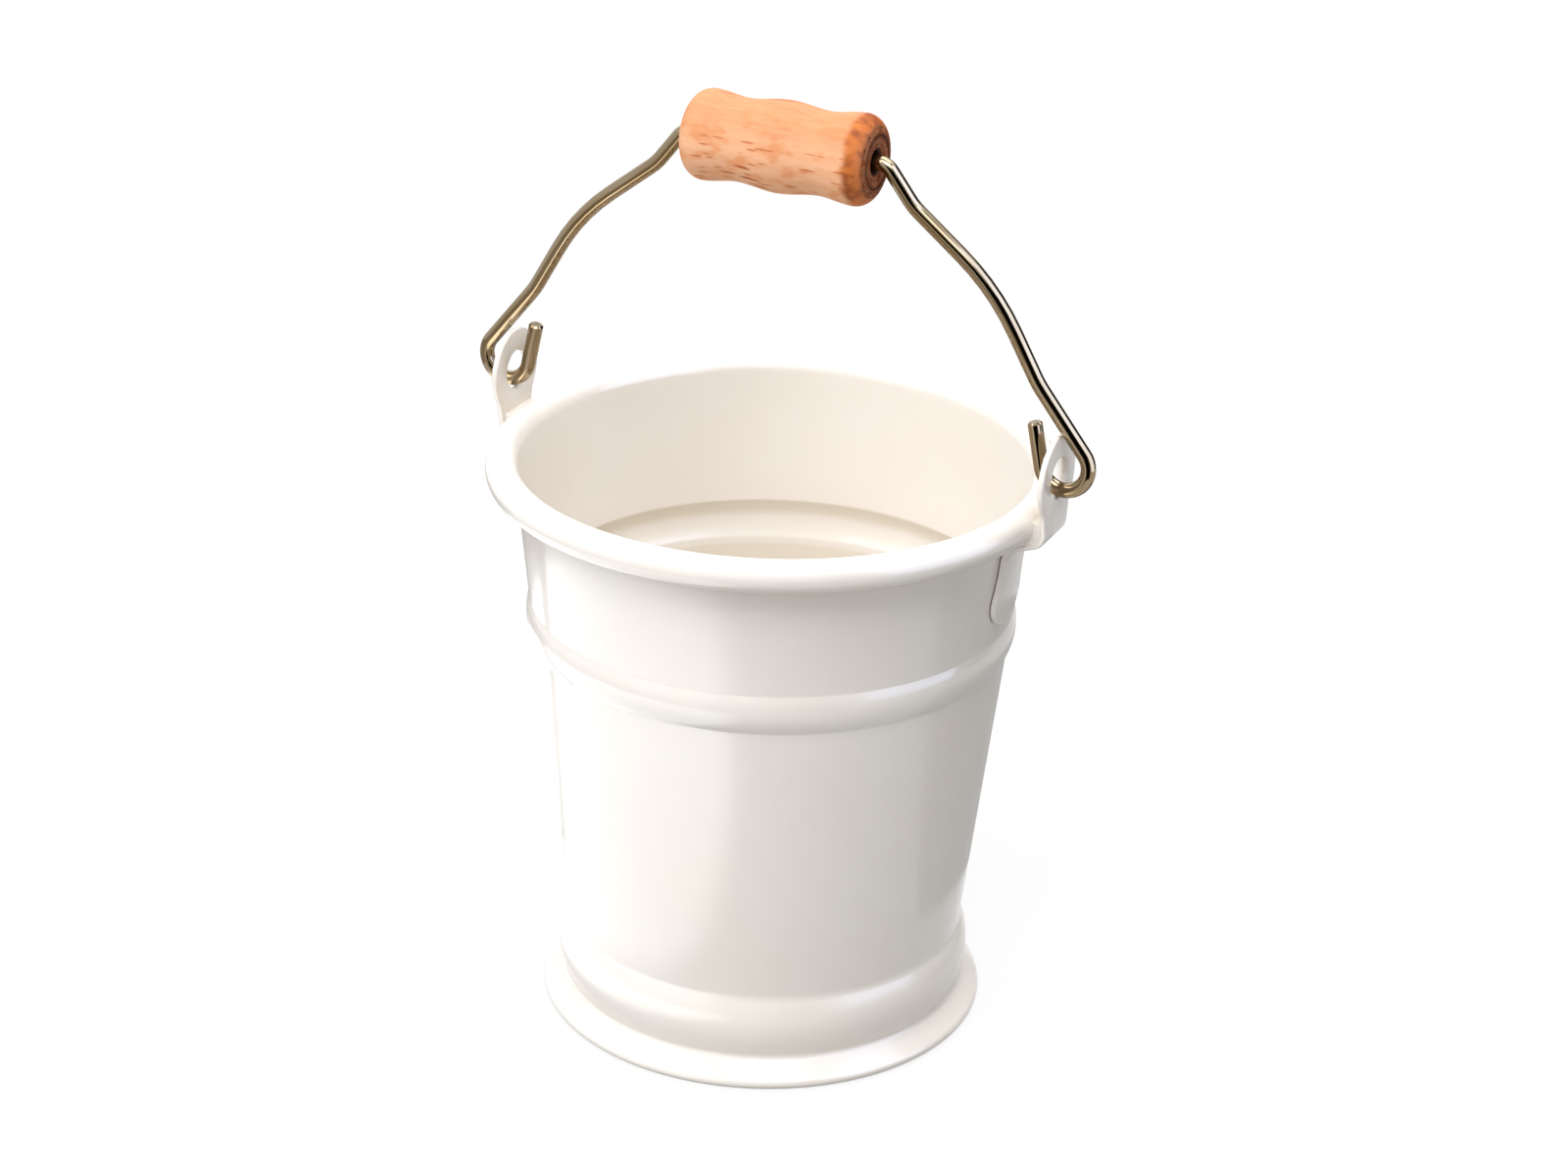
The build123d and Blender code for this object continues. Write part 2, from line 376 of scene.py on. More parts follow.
class Shading:
    """Adds and links the shader nodes of one material or world."""

    def __init__(self, owner: Any) -> None:
        """Start on the emptied nodes of a material or world."""
        owner.use_nodes = True
        owner.node_tree.nodes.clear()
        self.owner = owner

    def add(self, kind: str, inputs: dict[Any, Any] | None = None, **settings: Any) -> Any:
        """Add one node.

        Args:
            kind: type of the node, without its common prefix.
            inputs: value, colour or socket to link, of each named or numbered input.
            settings: properties of the node.

        Returns:
            The outputs of the node.
        """
        node = self.owner.node_tree.nodes.new("ShaderNode" + kind)
        for name, value in settings.items():
            setattr(node, name, value)
        for name, value in (inputs or {}).items():
            socket = node.inputs[name]
            if isinstance(value, Socket):
                self.owner.node_tree.links.new(value, socket)
            else:
                socket.default_value = (*value, 1.0) if socket.type == "RGBA" else value
        return node.outputs

    def maths(self, operation: str, *values: Any) -> Socket:
        """Result of a math node on numbers or sockets."""
        return self.add("Math", dict(enumerate(values)), operation=operation)[0]

    def ramp(self, value: Socket, low: float, high: float, first: float = 0.0, last: float = 1.0) -> Socket:
        """Smooth step of a value, from a first level at a low value to a last level at a high one."""
        inputs = {"Value": value, "From Min": low, "From Max": high, "To Min": first, "To Max": last}
        return self.add("MapRange", inputs, interpolation_type="SMOOTHSTEP")["Result"]

    def blend(self, share: Socket, first: Any, second: Any) -> Socket:
        """Colour between two others; the node's colour sockets come after those of other kinds."""
        return self.add("Mix", {0: share, 6: first, 7: second}, data_type="RGBA")[2]

    def tint(self, colour: Any, other: Any, value: Socket, step: Step) -> Socket:
        """Colour that gives way to another as a value goes through a step."""
        return self.blend(self.ramp(value, *step), colour, other)

    def cells(self, where: Socket, along: float, across: float) -> Socket:
        """Coordinates counted in cells of one size along X and another across it."""
        return self.add("Mapping", {"Vector": where, "Scale": (1 / along, 1 / across, 1 / across)})[0]

    def noise(self, where: Socket, along: float, across: float, detail: float) -> Socket:
        """Soft noise with features of one size along X and another across it."""
        inputs = {"Vector": self.cells(where, along, across), "Scale": 1.0, "Detail": detail}
        return self.add("TexNoise", inputs)["Fac"]

    def relief(self, height: Socket, depth: float) -> Socket:
        """Normals of a surface that a height raises by a depth."""
        return self.add("Bump", {"Height": height, "Strength": 1.0, "Distance": depth})["Normal"]

    def surface(self, kind: str, inputs: dict[Any, Any], output: str = "OutputMaterial") -> Any:
        """Finish with one shader, and hand over the finished material or world."""
        self.add(output, {"Surface": self.add(kind, inputs)[0]})
        return self.owner


def new_shading(name: str) -> Shading:
    """Helper that fills a new material."""
    return Shading(bpy.data.materials.new(name))


@dataclass(frozen=True)
class IvoryEnamel:
    """Thick glossy ivory coat with a faint orange peel, and painted shade: creamier and darker on
    down-turned faces, low inside and in creases (there partly a heavier coat), and dark in narrow gaps.
    """

    slot: Slot = Slot.ENAMEL
    ivory: Colour = (0.876, 0.834, 0.788)
    cream: Colour = (0.870, 0.820, 0.762)
    # Creamy darker tint in creases: partly coat gathered there, partly painted shade
    pooled_coat_and_shade: Colour = (0.75, 0.67, 0.55)
    # Creamier, darker colour painted as shade on faces turned down and low inside the pail
    painted_low_shade: Colour = (0.77, 0.705, 0.60)
    # Near-black painted shadow in narrow gaps between parts
    gap_shadow: Colour = (0.09, 0.075, 0.06)
    cloud: Grain = (0.024, 0.024, 2.0)
    clouded: Step = (0.35, 0.65)
    # Steps of that painted shade: faces turned in, faces turned down, height low inside the pail, faces
    # turned well down
    inside: Step = (-0.025, -0.010, 1.0, 0.0)
    ledge: Step = (-0.15, 0.10, 0.9, 0.0)
    deep: Step = (0.0660, 0.0668, 0.7, 0.0)
    underside: Step = (-0.75, -0.35, 0.6, 0.0)
    pool_and_shade_reach: float = 0.004
    pooling_and_shade: Step = (0.15, 0.55, 0.75, 0.0)
    gap_shadow_reach: float = 0.0008
    gap_shadowing: Step = (0.18, 0.42, 1.0, 0.0)
    nook_rays: int = 8
    peel: Grain = (0.0042, 0.0042, 1.0)
    peel_depth: float = 0.000022
    gloss: Step = (0.3, 0.7, 0.13, 0.19)
    refraction: float = 1.5

    def painted_shade_share(self, make: Shading, where: Socket) -> Socket:
        """Share of painted shade: on inward faces that turn down or lie below the bead, and on any face
        turned well down.

        Args:
            make: node helper.
            where: coordinates with Z up the axis of the pail.

        Returns:
            The share, 0 to 1.
        """
        facing = make.add("NewGeometry")["Normal"]
        lean = make.add("SeparateXYZ", {"Vector": facing})["Z"]
        split = make.add("SeparateXYZ", {"Vector": where})
        spoke = make.add("CombineXYZ", {"X": split["X"], "Y": split["Y"]})[0]
        outward = make.add("VectorMath", {0: facing, 1: spoke}, operation="DOT_PRODUCT")["Value"]
        shaded = make.maths("MAXIMUM", make.ramp(lean, *self.ledge), make.ramp(split["Z"], *self.deep))
        shaded = make.maths("MULTIPLY", make.ramp(outward, *self.inside), shaded)
        return make.maths("MAXIMUM", shaded, make.ramp(lean, *self.underside))

    def material(self) -> Material:
        """Material of the coat."""
        make = new_shading("ivory_enamel_coat")
        where = make.add("TexCoord")["Object"]
        cloud = make.noise(where, *self.cloud)
        coat = make.tint(self.ivory, self.cream, cloud, self.clouded)
        # Painted shade: creamier and darker on faces turned down and low inside the pail
        coat = make.blend(self.painted_shade_share(make, where), coat, self.painted_low_shade)
        # Ambient occlusion paints creases a creamier, darker tint: partly coat gathered there, partly
        # painted shade
        pools_and_shade = (self.pooled_coat_and_shade, self.pool_and_shade_reach, self.pooling_and_shade)
        # Ambient occlusion with a short reach paints a dark shadow into narrow gaps between parts
        gap_shadows = (self.gap_shadow, self.gap_shadow_reach, self.gap_shadowing)
        for colour, reach, step in (pools_and_shade, gap_shadows):
            open_sky = make.add("AmbientOcclusion", {"Distance": reach}, samples=self.nook_rays)["AO"]
            coat = make.tint(coat, colour, open_sky, step)
        inputs = {
            "Base Color": coat,
            "Roughness": make.ramp(cloud, *self.gloss),
            "IOR": self.refraction,
            "Normal": make.relief(make.noise(where, *self.peel), self.peel_depth),
        }
        return make.surface("BsdfPrincipled", inputs)


@dataclass(frozen=True)
class BrightWire:
    """Plated wire of a warm nickel tone with fine draw marks along it."""

    slot: Slot = Slot.WIRE
    bright: Colour = (0.34, 0.268, 0.178)
    warm: Colour = (0.255, 0.18, 0.098)
    broad: Grain = (1 / 5, 1 / 60, 1.0)
    toned: Step = (0.35, 0.7)
    marks: Grain = (1 / 34, 1 / 90, 3.0)
    mark_depth: float = 0.0000015
    polish: Step = (0.3, 0.75, 0.06, 0.14)

    def material(self) -> Material:
        """Material of the wire."""
        make = new_shading("bright_drawn_wire")
        lay = make.add("TexCoord")["UV"]
        marks = make.noise(lay, *self.marks)
        inputs = {
            "Base Color": make.tint(self.bright, self.warm, make.noise(lay, *self.broad), self.toned),
            "Metallic": 1.0,
            "Roughness": make.ramp(marks, *self.polish),
            "Normal": make.relief(marks, self.mark_depth),
        }
        return make.surface("BsdfPrincipled", inputs)


@dataclass(frozen=True)
class WaxedBeech:
    """Turned beech: cloudy orange patches, ray flecks along the axis and one scorched end."""

    slot: Slot = Slot.BEECH
    pale: Colour = (0.87, 0.485, 0.285)
    tan: Colour = (0.79, 0.385, 0.195)
    amber: Colour = (0.74, 0.25, 0.08)
    fleck: Colour = (0.48, 0.085, 0.006)
    handled: Colour = (0.57, 0.235, 0.10)
    burnt: Colour = (0.60, 0.165, 0.022)
    char: Colour = (0.24, 0.04, 0.006)
    end_grain: Colour = (0.40, 0.17, 0.08)
    # Dark colour of the pores; it also paints shade in the bore and in a thin ring on the end face
    pore_and_shade: Colour = (0.045, 0.010, 0.003)
    wander: Grain = (1 / 40, 1 / 90, 1.0)
    wander_depth: float = 0.0030
    layer_period: float = 0.0026
    layered: Step = (-1.0, 1.0, 0.0, 0.40)
    patch: Grain = (0.0036, 0.0020, 2.0)
    patchy: Step = (0.47, 0.68, 0.0, 0.65)
    worn_top: Step = (-0.0005, 0.0060, 0.0, 0.80)
    fibre: Grain = (1 / 150, 1 / 2600, 3.0)
    fibrous: Step = (0.42, 0.75, 0.0, 0.50)
    streak_cell: Pair = (0.0210, 0.00100)
    streak_size: Pair = (0.32, 0.60)
    tick_cell: Pair = (0.0085, 0.00055)
    tick_size: Pair = (0.33, 0.55)
    tick_share: float = 0.8
    fleck_core: float = 0.55
    ray_way: Colour = (0.0, -0.80, -0.60)
    ray_face: Step = (0.35, 0.85, 0.12, 1.0)
    teeth: Grain = (1 / 160, 1 / 480, 4.0)
    ragged: float = 0.0024
    scorched: Step = (0.0138, 0.0153, 0.0, 0.95)
    soot: Grain = (1 / 260, 1 / 420, 2.0)
    sooty: Step = (0.42, 0.66, 0.0, 0.8)
    tool_period: float = 0.0009
    tooled: Step = (-0.2, 1.0, 0.0, 0.45)
    stain: Grain = (0.0016, 0.0016, 2.0)
    stained: Step = (0.45, 0.62, 0.0, 0.7)
    speck: Grain = (0.0003, 0.0003, 2.0)
    specked: Step = (0.52, 0.66, 0.0, 0.75)
    groove_radius: float = 0.0043
    # Painted shade of a thin ring near the face's edge
    groove_shade: Step = (0.00014, 0.00035, 0.9, 0.0)
    end_face: Step = (0.0157, 0.0161)
    # Painted shade: the bore goes dark
    bore_shade: Step = (0.0021, 0.0025, 1.0, 0.0)
    wax: Pair = (0.22, 0.03)
    dulled: Step = (0.3, 0.7, 0.52, 0.66)
    fibre_rise: float = 0.5
    dent_depth: float = 0.00004

    def flecks(self, make: Shading, where: Socket, cell: Pair, size: Pair) -> Socket:
        """Mask of spindle-shaped flecks along the axis.

        Args:
            make: node helper.
            where: coordinates with X along the axis.
            cell: length and width of the cell that holds one fleck.
            size: half size of a fleck as a share of its cell, and share of the cells that stay empty.

        Returns:
            The mask, 1 on a fleck.
        """
        reach, empty = size
        spots = make.add("TexVoronoi", {"Vector": make.cells(where, *cell), "Scale": 1.0})
        chance = make.add("SeparateColor", {"Color": spots["Color"]})["Red"]
        shape = make.ramp(spots["Distance"], reach * self.fleck_core, reach, 1.0, 0.0)
        return make.maths("MULTIPLY", shape, make.maths("GREATER_THAN", chance, empty))

    def face_colour(self, make: Shading, where: Socket, radius: Socket) -> Socket:
        """End grain: turned rings, stains, dark pores, and a thin ring of painted shade near the edge of
        the face, where a groove would be.

        Args:
            make: node helper.
            where: coordinates with X along the axis.
            radius: distance from the axis.

        Returns:
            The colour of both end faces.
        """
        rings = make.maths("SINE", make.maths("MULTIPLY", radius, 2 * math.pi / self.tool_period))
        face = make.tint(self.end_grain, self.char, rings, self.tooled)
        face = make.tint(face, self.char, make.noise(where, *self.stain), self.stained)
        face = make.tint(face, self.pore_and_shade, make.noise(where, *self.speck), self.specked)
        # Painted shade: a thin dark ring near the face's edge, as in a groove
        off = make.maths("ABSOLUTE", make.maths("SUBTRACT", radius, self.groove_radius))
        return make.tint(face, self.pore_and_shade, off, self.groove_shade)

    def material(self) -> Material:
        """Material of the grip."""
        make = new_shading("waxed_beech")
        where = make.add("TexCoord")["Object"]
        split = make.add("SeparateXYZ", {"Vector": where})
        along, across, up = split["X"], split["Y"], split["Z"]
        spoke = make.add("CombineXYZ", {"Y": across, "Z": up})[0]
        radius = make.add("VectorMath", {0: spoke}, operation="LENGTH")["Value"]

        # Growth layers, patches, the darker worn top and the fibres
        depth = make.maths("MULTIPLY_ADD", make.noise(where, *self.wander), self.wander_depth, up)
        wave = make.maths("SINE", make.maths("MULTIPLY", depth, 2 * math.pi / self.layer_period))
        fibre = make.noise(where, *self.fibre)
        wood = make.tint(self.pale, self.tan, wave, self.layered)
        wood = make.tint(wood, self.amber, make.noise(where, *self.patch), self.patchy)
        wood = make.tint(wood, self.handled, up, self.worn_top)
        wood = make.tint(wood, self.tan, fibre, self.fibrous)

        # Ray flecks, most of them on the two faces cut along the rays
        lean = make.add("VectorMath", {0: spoke, 1: self.ray_way}, operation="DOT_PRODUCT")["Value"]
        rays = make.ramp(make.maths("ABSOLUTE", make.maths("DIVIDE", lean, radius)), *self.ray_face)
        streaks = self.flecks(make, where, self.streak_cell, self.streak_size)
        ticks = self.flecks(make, where, self.tick_cell, self.tick_size)
        for marks in (make.maths("MULTIPLY", ticks, self.tick_share), streaks):
            wood = make.blend(make.maths("MULTIPLY", marks, rays), wood, self.fleck)

        # Ragged scorched ring at the +X end, then the end faces, then painted shade that darkens the bore
        edge = make.maths("MULTIPLY_ADD", make.noise(where, *self.teeth), self.ragged, along)
        scorch = make.tint(self.burnt, self.char, make.noise(where, *self.soot), self.sooty)
        wood = make.tint(wood, scorch, edge, self.scorched)
        out = make.maths("ABSOLUTE", along)
        wood = make.tint(wood, self.face_colour(make, where, radius), out, self.end_face)
        # Painted shade darkens the bore
        wood = make.tint(wood, self.pore_and_shade, radius, self.bore_shade)
        dents = make.maths("SUBTRACT", make.maths("MULTIPLY", fibre, self.fibre_rise), streaks)
        inputs = {
            "Base Color": wood,
            "Roughness": make.ramp(fibre, *self.dulled),
            "Specular IOR Level": make.ramp(out, *self.end_face, *self.wax),
            "Normal": make.relief(dents, self.dent_depth),
        }
        return make.surface("BsdfPrincipled", inputs)


def fit(piece: Piece, body: Body, finish: Any, coat: Material, *nodes: str) -> None:
    """Dress a piece, let it stand for its solids and let it ride on its body.

    Args:
        piece: the new piece, in its place.
        body: body that it moves with.
        finish: not used.
        coat: material of that finish.
        nodes: solids that it stands for.
    """
    piece.data.materials.append(coat)
    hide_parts(*nodes)
    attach(piece, body.value)
    log.info("%s: %d faces, for %s", piece.name, len(piece.data.polygons), ", ".join(nodes))


# Pail


@dataclass
class EnamelPail:
    """The sheet body with its curled rim, bead, bulge and flared foot, and the pan inside it."""

    rim_radius: float
    height: float
    base_radius: float = 0.0343
    sheet: float = 0.0007
    roll_radius: float = 0.0027
    roll_gap: float = 0.0005
    bulge_proud: float = 0.0014
    bulge_span: float = 0.011
    bulge_ease: float = 0.003
    valley_height: float = 0.0042
    valley_bend: float = 0.0009
    foot_proud: float = 0.0039
    hem_bend: float = 0.0003
    hem_width: float = 0.0019
    bead_height: float = 0.0709
    bead_span: float = 0.0068
    bead_proud: float = 0.00085
    bead_ease: float = 0.0008
    pan_corner: float = 0.0022
    pan_skirt: float = 0.0064
    pan_seat_angle: float = math.radians(15.0)
    pan_fit: float = 0.00015
    run: float = 0.0022

    def __post_init__(self) -> None:
        """Work out the places that the outline goes through."""
        self.half = self.sheet / 2
        base = self.base_radius - self.half
        self.valley = flat(base, self.valley_height)
        self.bulge = flat(base + self.bulge_proud, self.valley_height + self.bulge_span / 2)
        self.crease = flat(base, self.valley_height + self.bulge_span)
        self.roll = flat(self.rim_radius - self.roll_radius, self.height - self.roll_radius)
        self.roll_middle = self.roll_radius - self.half
        self.roll_start, self.wall_way = passing(self.crease, 0.0, self.roll, self.roll_middle)

    def wall(self, height: float, proud: float = 0.0) -> Vector:
        """Point on the wall's middle line at a height, moved outward."""
        rise = height - self.crease.y
        return flat(self.crease.x + rise * self.wall_way.x / self.wall_way.y + proud, height)

    def swage(self, corners: Line, below: Vector, low_ease: float, high_ease: float) -> Line:
        """Rounded swell of the sheet, eased into what lies below and into the wall above.

        Args:
            corners: lower corner of the swell, its outermost point and its upper corner.
            below: unit direction of the straight that leaves the lower corner.
            low_ease: outer radius of the bend at the lower corner.
            high_ease: outer radius of the bend at the upper corner.

        Returns:
            The points, from the straight below to the wall above.
        """
        centre, reach = circle_through(*corners)
        low, high = low_ease + self.half, high_ease + self.half
        foot, foot_end = eased(corners[0], below, centre, reach, low, 1)
        top, top_end = eased(corners[-1], self.wall_way, centre, reach, high, -1)
        return chained(foot_end, [(foot, -low), (centre, reach), (top, -high)], top_end)

    def sheet_line(self) -> Line:
        """Middle line of the sheet, from the hem of the foot to the end of the curl."""
        hem_middle = self.hem_bend + self.half
        hem_centre = flat(
            self.base_radius + self.foot_proud - self.hem_bend - self.sheet, self.hem_bend + self.sheet
        )
        hem_start = hem_centre - flat(0.0, hem_middle)
        flare_way = passing(self.valley, 0.0, hem_centre, hem_middle)[1]
        hem_sweep = math.pi + math.atan2(flare_way.y, flare_way.x)
        hem = bend(hem_start, flat(1.0, 0.0), hem_middle, hem_sweep)
        bulge_corners = [self.valley, self.bulge, self.crease]
        bulge = self.swage(bulge_corners, flare_way, self.valley_bend, self.bulge_ease)
        bead_corners = [
            self.wall(self.bead_height - self.bead_span / 2),
            self.wall(self.bead_height, self.bead_proud),
            self.wall(self.bead_height + self.bead_span / 2),
        ]
        bead = self.swage(bead_corners, -self.wall_way, self.bead_ease, self.bead_ease)
        open_turn = math.acos(1 - (self.roll_gap + self.sheet) / self.roll_middle)
        curl = bend(self.roll_start, self.wall_way, self.roll_middle, open_turn - 2 * math.pi)
        return joined([hem_start - flat(self.hem_width, 0.0)], hem, bulge, bead, curl)

    def build_body(self) -> Piece:
        """Mesh of the sheet body."""
        line = spaced(self.sheet_line(), self.run)
        outline = beside(line, -self.half) + beside(line, self.half)[::-1]
        return lathe("pail_shell", outline, loop=True)

    def build_pan(self) -> Piece:
        """Mesh of the pressed pan that closes the bottom."""
        bend_radius = self.pan_corner + self.half
        centre, bulge_radius = circle_through(self.valley, self.bulge, self.crease)
        reach = bulge_radius - self.half - self.pan_fit - bend_radius
        seat = centre + turned(flat(reach, 0.0), self.pan_seat_angle)
        middle = seat + flat(self.pan_corner, self.pan_corner)
        skirt_end = middle.y + self.half - self.pan_skirt
        corners = [flat(0.0, middle.y), middle, flat(middle.x, skirt_end)]
        line = spaced(rounded(corners, [self.pan_corner]), self.run)
        outline = beside(line, self.half) + beside(line, -self.half)[::-1]
        return lathe("pail_bottom", outline, loop=False)


@dataclass
class StrapEar:
    """Pressed strap with a round eye, bent under the curl and laid on the wall as a tab."""

    side: EarSide
    pail: EnamelPail
    sheet: float = 0.001
    middle: float = 0.04955
    head_radius: float = 0.0072
    eye_radius: float = 0.0033
    eye_height: float = 0.1052
    waist_half: float = 0.0044
    waist_height: float = 0.091
    neck_turn: float = math.radians(40.0)
    neck_fillet: float = 0.005
    knee_height: float = 0.095
    seat_height: float = 0.0926
    strap_bend: float = 0.0024
    tab_radius: float = 0.0052
    tab_turn: float = math.radians(20.0)
    tab_bottom: float = 0.0779
    tab_fit: float = 0.00005
    edge_round: float = 0.00034
    edge_steps: int = 4
    edge_run: float = 0.0006
    eye_sides: int = 72
    ripple: float = 0.00005
    ripple_waves: tuple[Pair, ...] = ((7, 0.5), (17, 0.3), (29, 0.2))
    bridge_half: float = 0.0043
    bridge_top: float = 0.0984
    bridge_turn: float = math.radians(34.0)
    bridge_sweep: float = math.radians(144.0)
    bridge_steps: int = 16
    bridge_sag: float = 0.00035
    bridge_sink: float = 0.00012
    bridge_layers: int = 8

    def outline(self) -> Line:
        """Edge of the strap seen along X, as points of (Y, Z), anticlockwise."""
        head = flat(0.0, self.eye_height)
        tab = flat(0.0, self.tab_bottom + self.tab_radius)
        head_side = head + turned(flat(self.head_radius, 0.0), -self.neck_turn)
        tab_side = tab + turned(flat(self.tab_radius, 0.0), self.tab_turn)
        waist, waist_radius = circle_through(head_side, flat(self.waist_half, self.waist_height), tab_side)
        reach = waist_radius - self.neck_fillet
        upper = circles_meet(waist, reach, head, self.head_radius + self.neck_fillet)
        lower = circles_meet(tab, self.tab_radius + self.neck_fillet, waist, reach)
        rounds = [
            (tab, self.tab_radius),
            (lower, -self.neck_fillet),
            (waist, -waist_radius),
            (upper, -self.neck_fillet),
            (head, self.head_radius),
        ]
        half = chained(flat(0.0, self.tab_bottom), rounds, flat(0.0, self.eye_height + self.head_radius))
        mirrored = [flat(-point.x, point.y) for point in half[-2:0:-1]]
        return self.rippled(spaced(half + mirrored, self.edge_run))

    def rippled(self, loop: Line) -> Line:
        """Give an edge the slight unevenness of a dipped coat.

        Args:
            loop: the even edge.

        Returns:
            The uneven edge.
        """
        lengths = travelled(loop, loop=True)
        uneven = []
        for point, way, length in zip(loop, normals(loop + loop[:1]), lengths):
            turn = 2 * math.pi * length / lengths[-1]
            (slow, slow_size), *quick = self.ripple_waves
            wave = slow_size * math.sin(slow * turn + self.side.value)
            wave += sum(size * math.sin(count * turn) for count, size in quick)
            uneven.append(point + way * (self.ripple * (1.0 + wave)))
        return uneven

    def strap_line(self) -> Line:
        """Middle line of the strap seen along Y, from its top to the end of the tab."""
        proud = self.pail.half + self.tab_fit + self.sheet / 2
        corners = [
            flat(self.middle, self.eye_height + self.head_radius),
            flat(self.middle, self.knee_height),
            self.pail.wall(self.seat_height, proud),
            self.pail.wall(self.tab_bottom, proud),
        ]
        return rounded(corners, [self.strap_bend, self.strap_bend])

    def edge_profile(self) -> list[tuple[float, float]]:
        """Inset from the edge and height off the middle, from the outer face to the inner one."""
        flat_half = self.sheet / 2 - self.edge_round
        steps = [QUARTER * step / self.edge_steps for step in range(self.edge_steps + 1)]
        r = self.edge_round
        upper = [(r * (1 - math.sin(a)), flat_half + r * math.cos(a)) for a in steps]
        return upper + [(inset, -rise) for inset, rise in reversed(upper)]

    def skin(self) -> bmesh.types.BMesh:
        """Strap laid flat: closed skin with X across, Y along the height and Z through the sheet."""
        skin = bmesh.new()
        centre = flat(0.0, self.eye_height)
        turns = [-2 * math.pi * side / self.eye_sides for side in range(self.eye_sides)]
        eye = [centre + turned(flat(self.eye_radius, 0.0), turn) for turn in turns]
        faces: dict[int, list[bmesh.types.BMEdge]] = {0: [], -1: []}
        for loop in (self.outline(), eye):
            ways = normals([loop[-1]] + loop + loop[:1])[1:-1]
            rings = []
            for inset, rise in self.edge_profile():
                ring = [p + way * inset for p, way in zip(loop, ways)]
                rings.append([skin.verts.new((p.x, p.y, rise)) for p in ring])
            for first, second in zip(rings, rings[1:]):
                for k in range(len(loop)):
                    skin.faces.new((first[k - 1], first[k], second[k], second[k - 1]))
            for end in faces:
                ring = rings[end]
                faces[end] += [skin.edges.get((ring[k - 1], ring[k])) for k in range(len(ring))]
        for edges in faces.values():
            bmesh.ops.triangle_fill(skin, use_beauty=True, edges=edges)
        return skin

    def bridge_section(self) -> tuple[Line, Line]:
        """Coat that fills the gap between curl and strap, seen along Y.

        Returns:
            The points on the curl, from its top to its underside, and those on the strap, going up.
        """
        line = self.strap_line()
        sunk = self.sheet / 2 - self.bridge_sink
        inner = [place - way * sunk for place, way in zip(line, normals(line))]
        strap = [point for point in inner if self.seat_height < point.y < self.bridge_top]
        strap.insert(0, flat(self.middle - sunk, self.bridge_top))
        reach = flat(self.pail.roll_radius - self.bridge_sink, 0.0)
        shares = [step / self.bridge_steps for step in range(self.bridge_steps + 1)]
        turns = [self.bridge_turn - self.bridge_sweep * share for share in shares]
        curl = [self.pail.roll + turned(reach, turn) for turn in turns]
        dip = strap[0].lerp(curl[0], 0.5) - flat(0.0, self.bridge_sag)
        return [dip] + curl, strap[::-1]

    def add_bridge(self, skin: bmesh.types.BMesh) -> None:
        """Add the coat that bridges curl and strap as a closed body of its own.

        Args:
            skin: mesh of the bent strap.
        """
        curl, strap = self.bridge_section()
        rings = []
        for layer in range(self.bridge_layers + 1):
            across = self.bridge_half * (2 * layer / self.bridge_layers - 1)
            hollow = across**2 / (2 * self.pail.rim_radius)
            ring = [(point.x - hollow, point.y) for point in curl] + [(point.x, point.y) for point in strap]
            rings.append([skin.verts.new((self.side.value * x, across, z)) for x, z in ring])
        for first, second in zip(rings, rings[1:]):
            for k in range(len(first)):
                skin.faces.new((first[k - 1], first[k], second[k], second[k - 1]))
        skin.faces.new(rings[0])
        skin.faces.new(rings[-1][::-1])

    def build(self) -> Piece:
        """Mesh of the bent strap."""
        line = self.strap_line()
        ways = normals(line)
        skin = self.skin()
        for level in (point.y for point in line[1:-1]):
            everything = skin.verts[:] + skin.edges[:] + skin.faces[:]
            bmesh.ops.bisect_plane(skin, geom=everything, plane_co=(0, level, 0), plane_no=(0, 1, 0))
        wall_radius = line[-1].x
        for vertex in skin.verts:
            across, height, off = vertex.co
            place, way = self.along(line, ways, height)
            laid = min(max((self.knee_height - height) / (self.knee_height - self.seat_height), 0.0), 1.0)
            hollow = laid * across**2 / (2 * wall_radius)
            spot = place + way * off
            vertex.co = (self.side.value * (spot.x - hollow), across, spot.y)
        self.add_bridge(skin)
        return finished(f"ear_strap_{self.side.name.lower()}", skin)

    @staticmethod
    def along(line: Line, ways: Line, height: float) -> tuple[Vector, Vector]:
        """Read a falling line at a height.

        Args:
            line: the line.
            ways: its normals.
            height: the height.

        Returns:
            The point and the outward way there.
        """
        for start, end, first, last in zip(line, line[1:], ways, ways[1:]):
            if height >= end.y:
                break
        share = (start.y - height) / (start.y - end.y)
        return start.lerp(end, share), first.lerp(last, share)


# Bail and grip


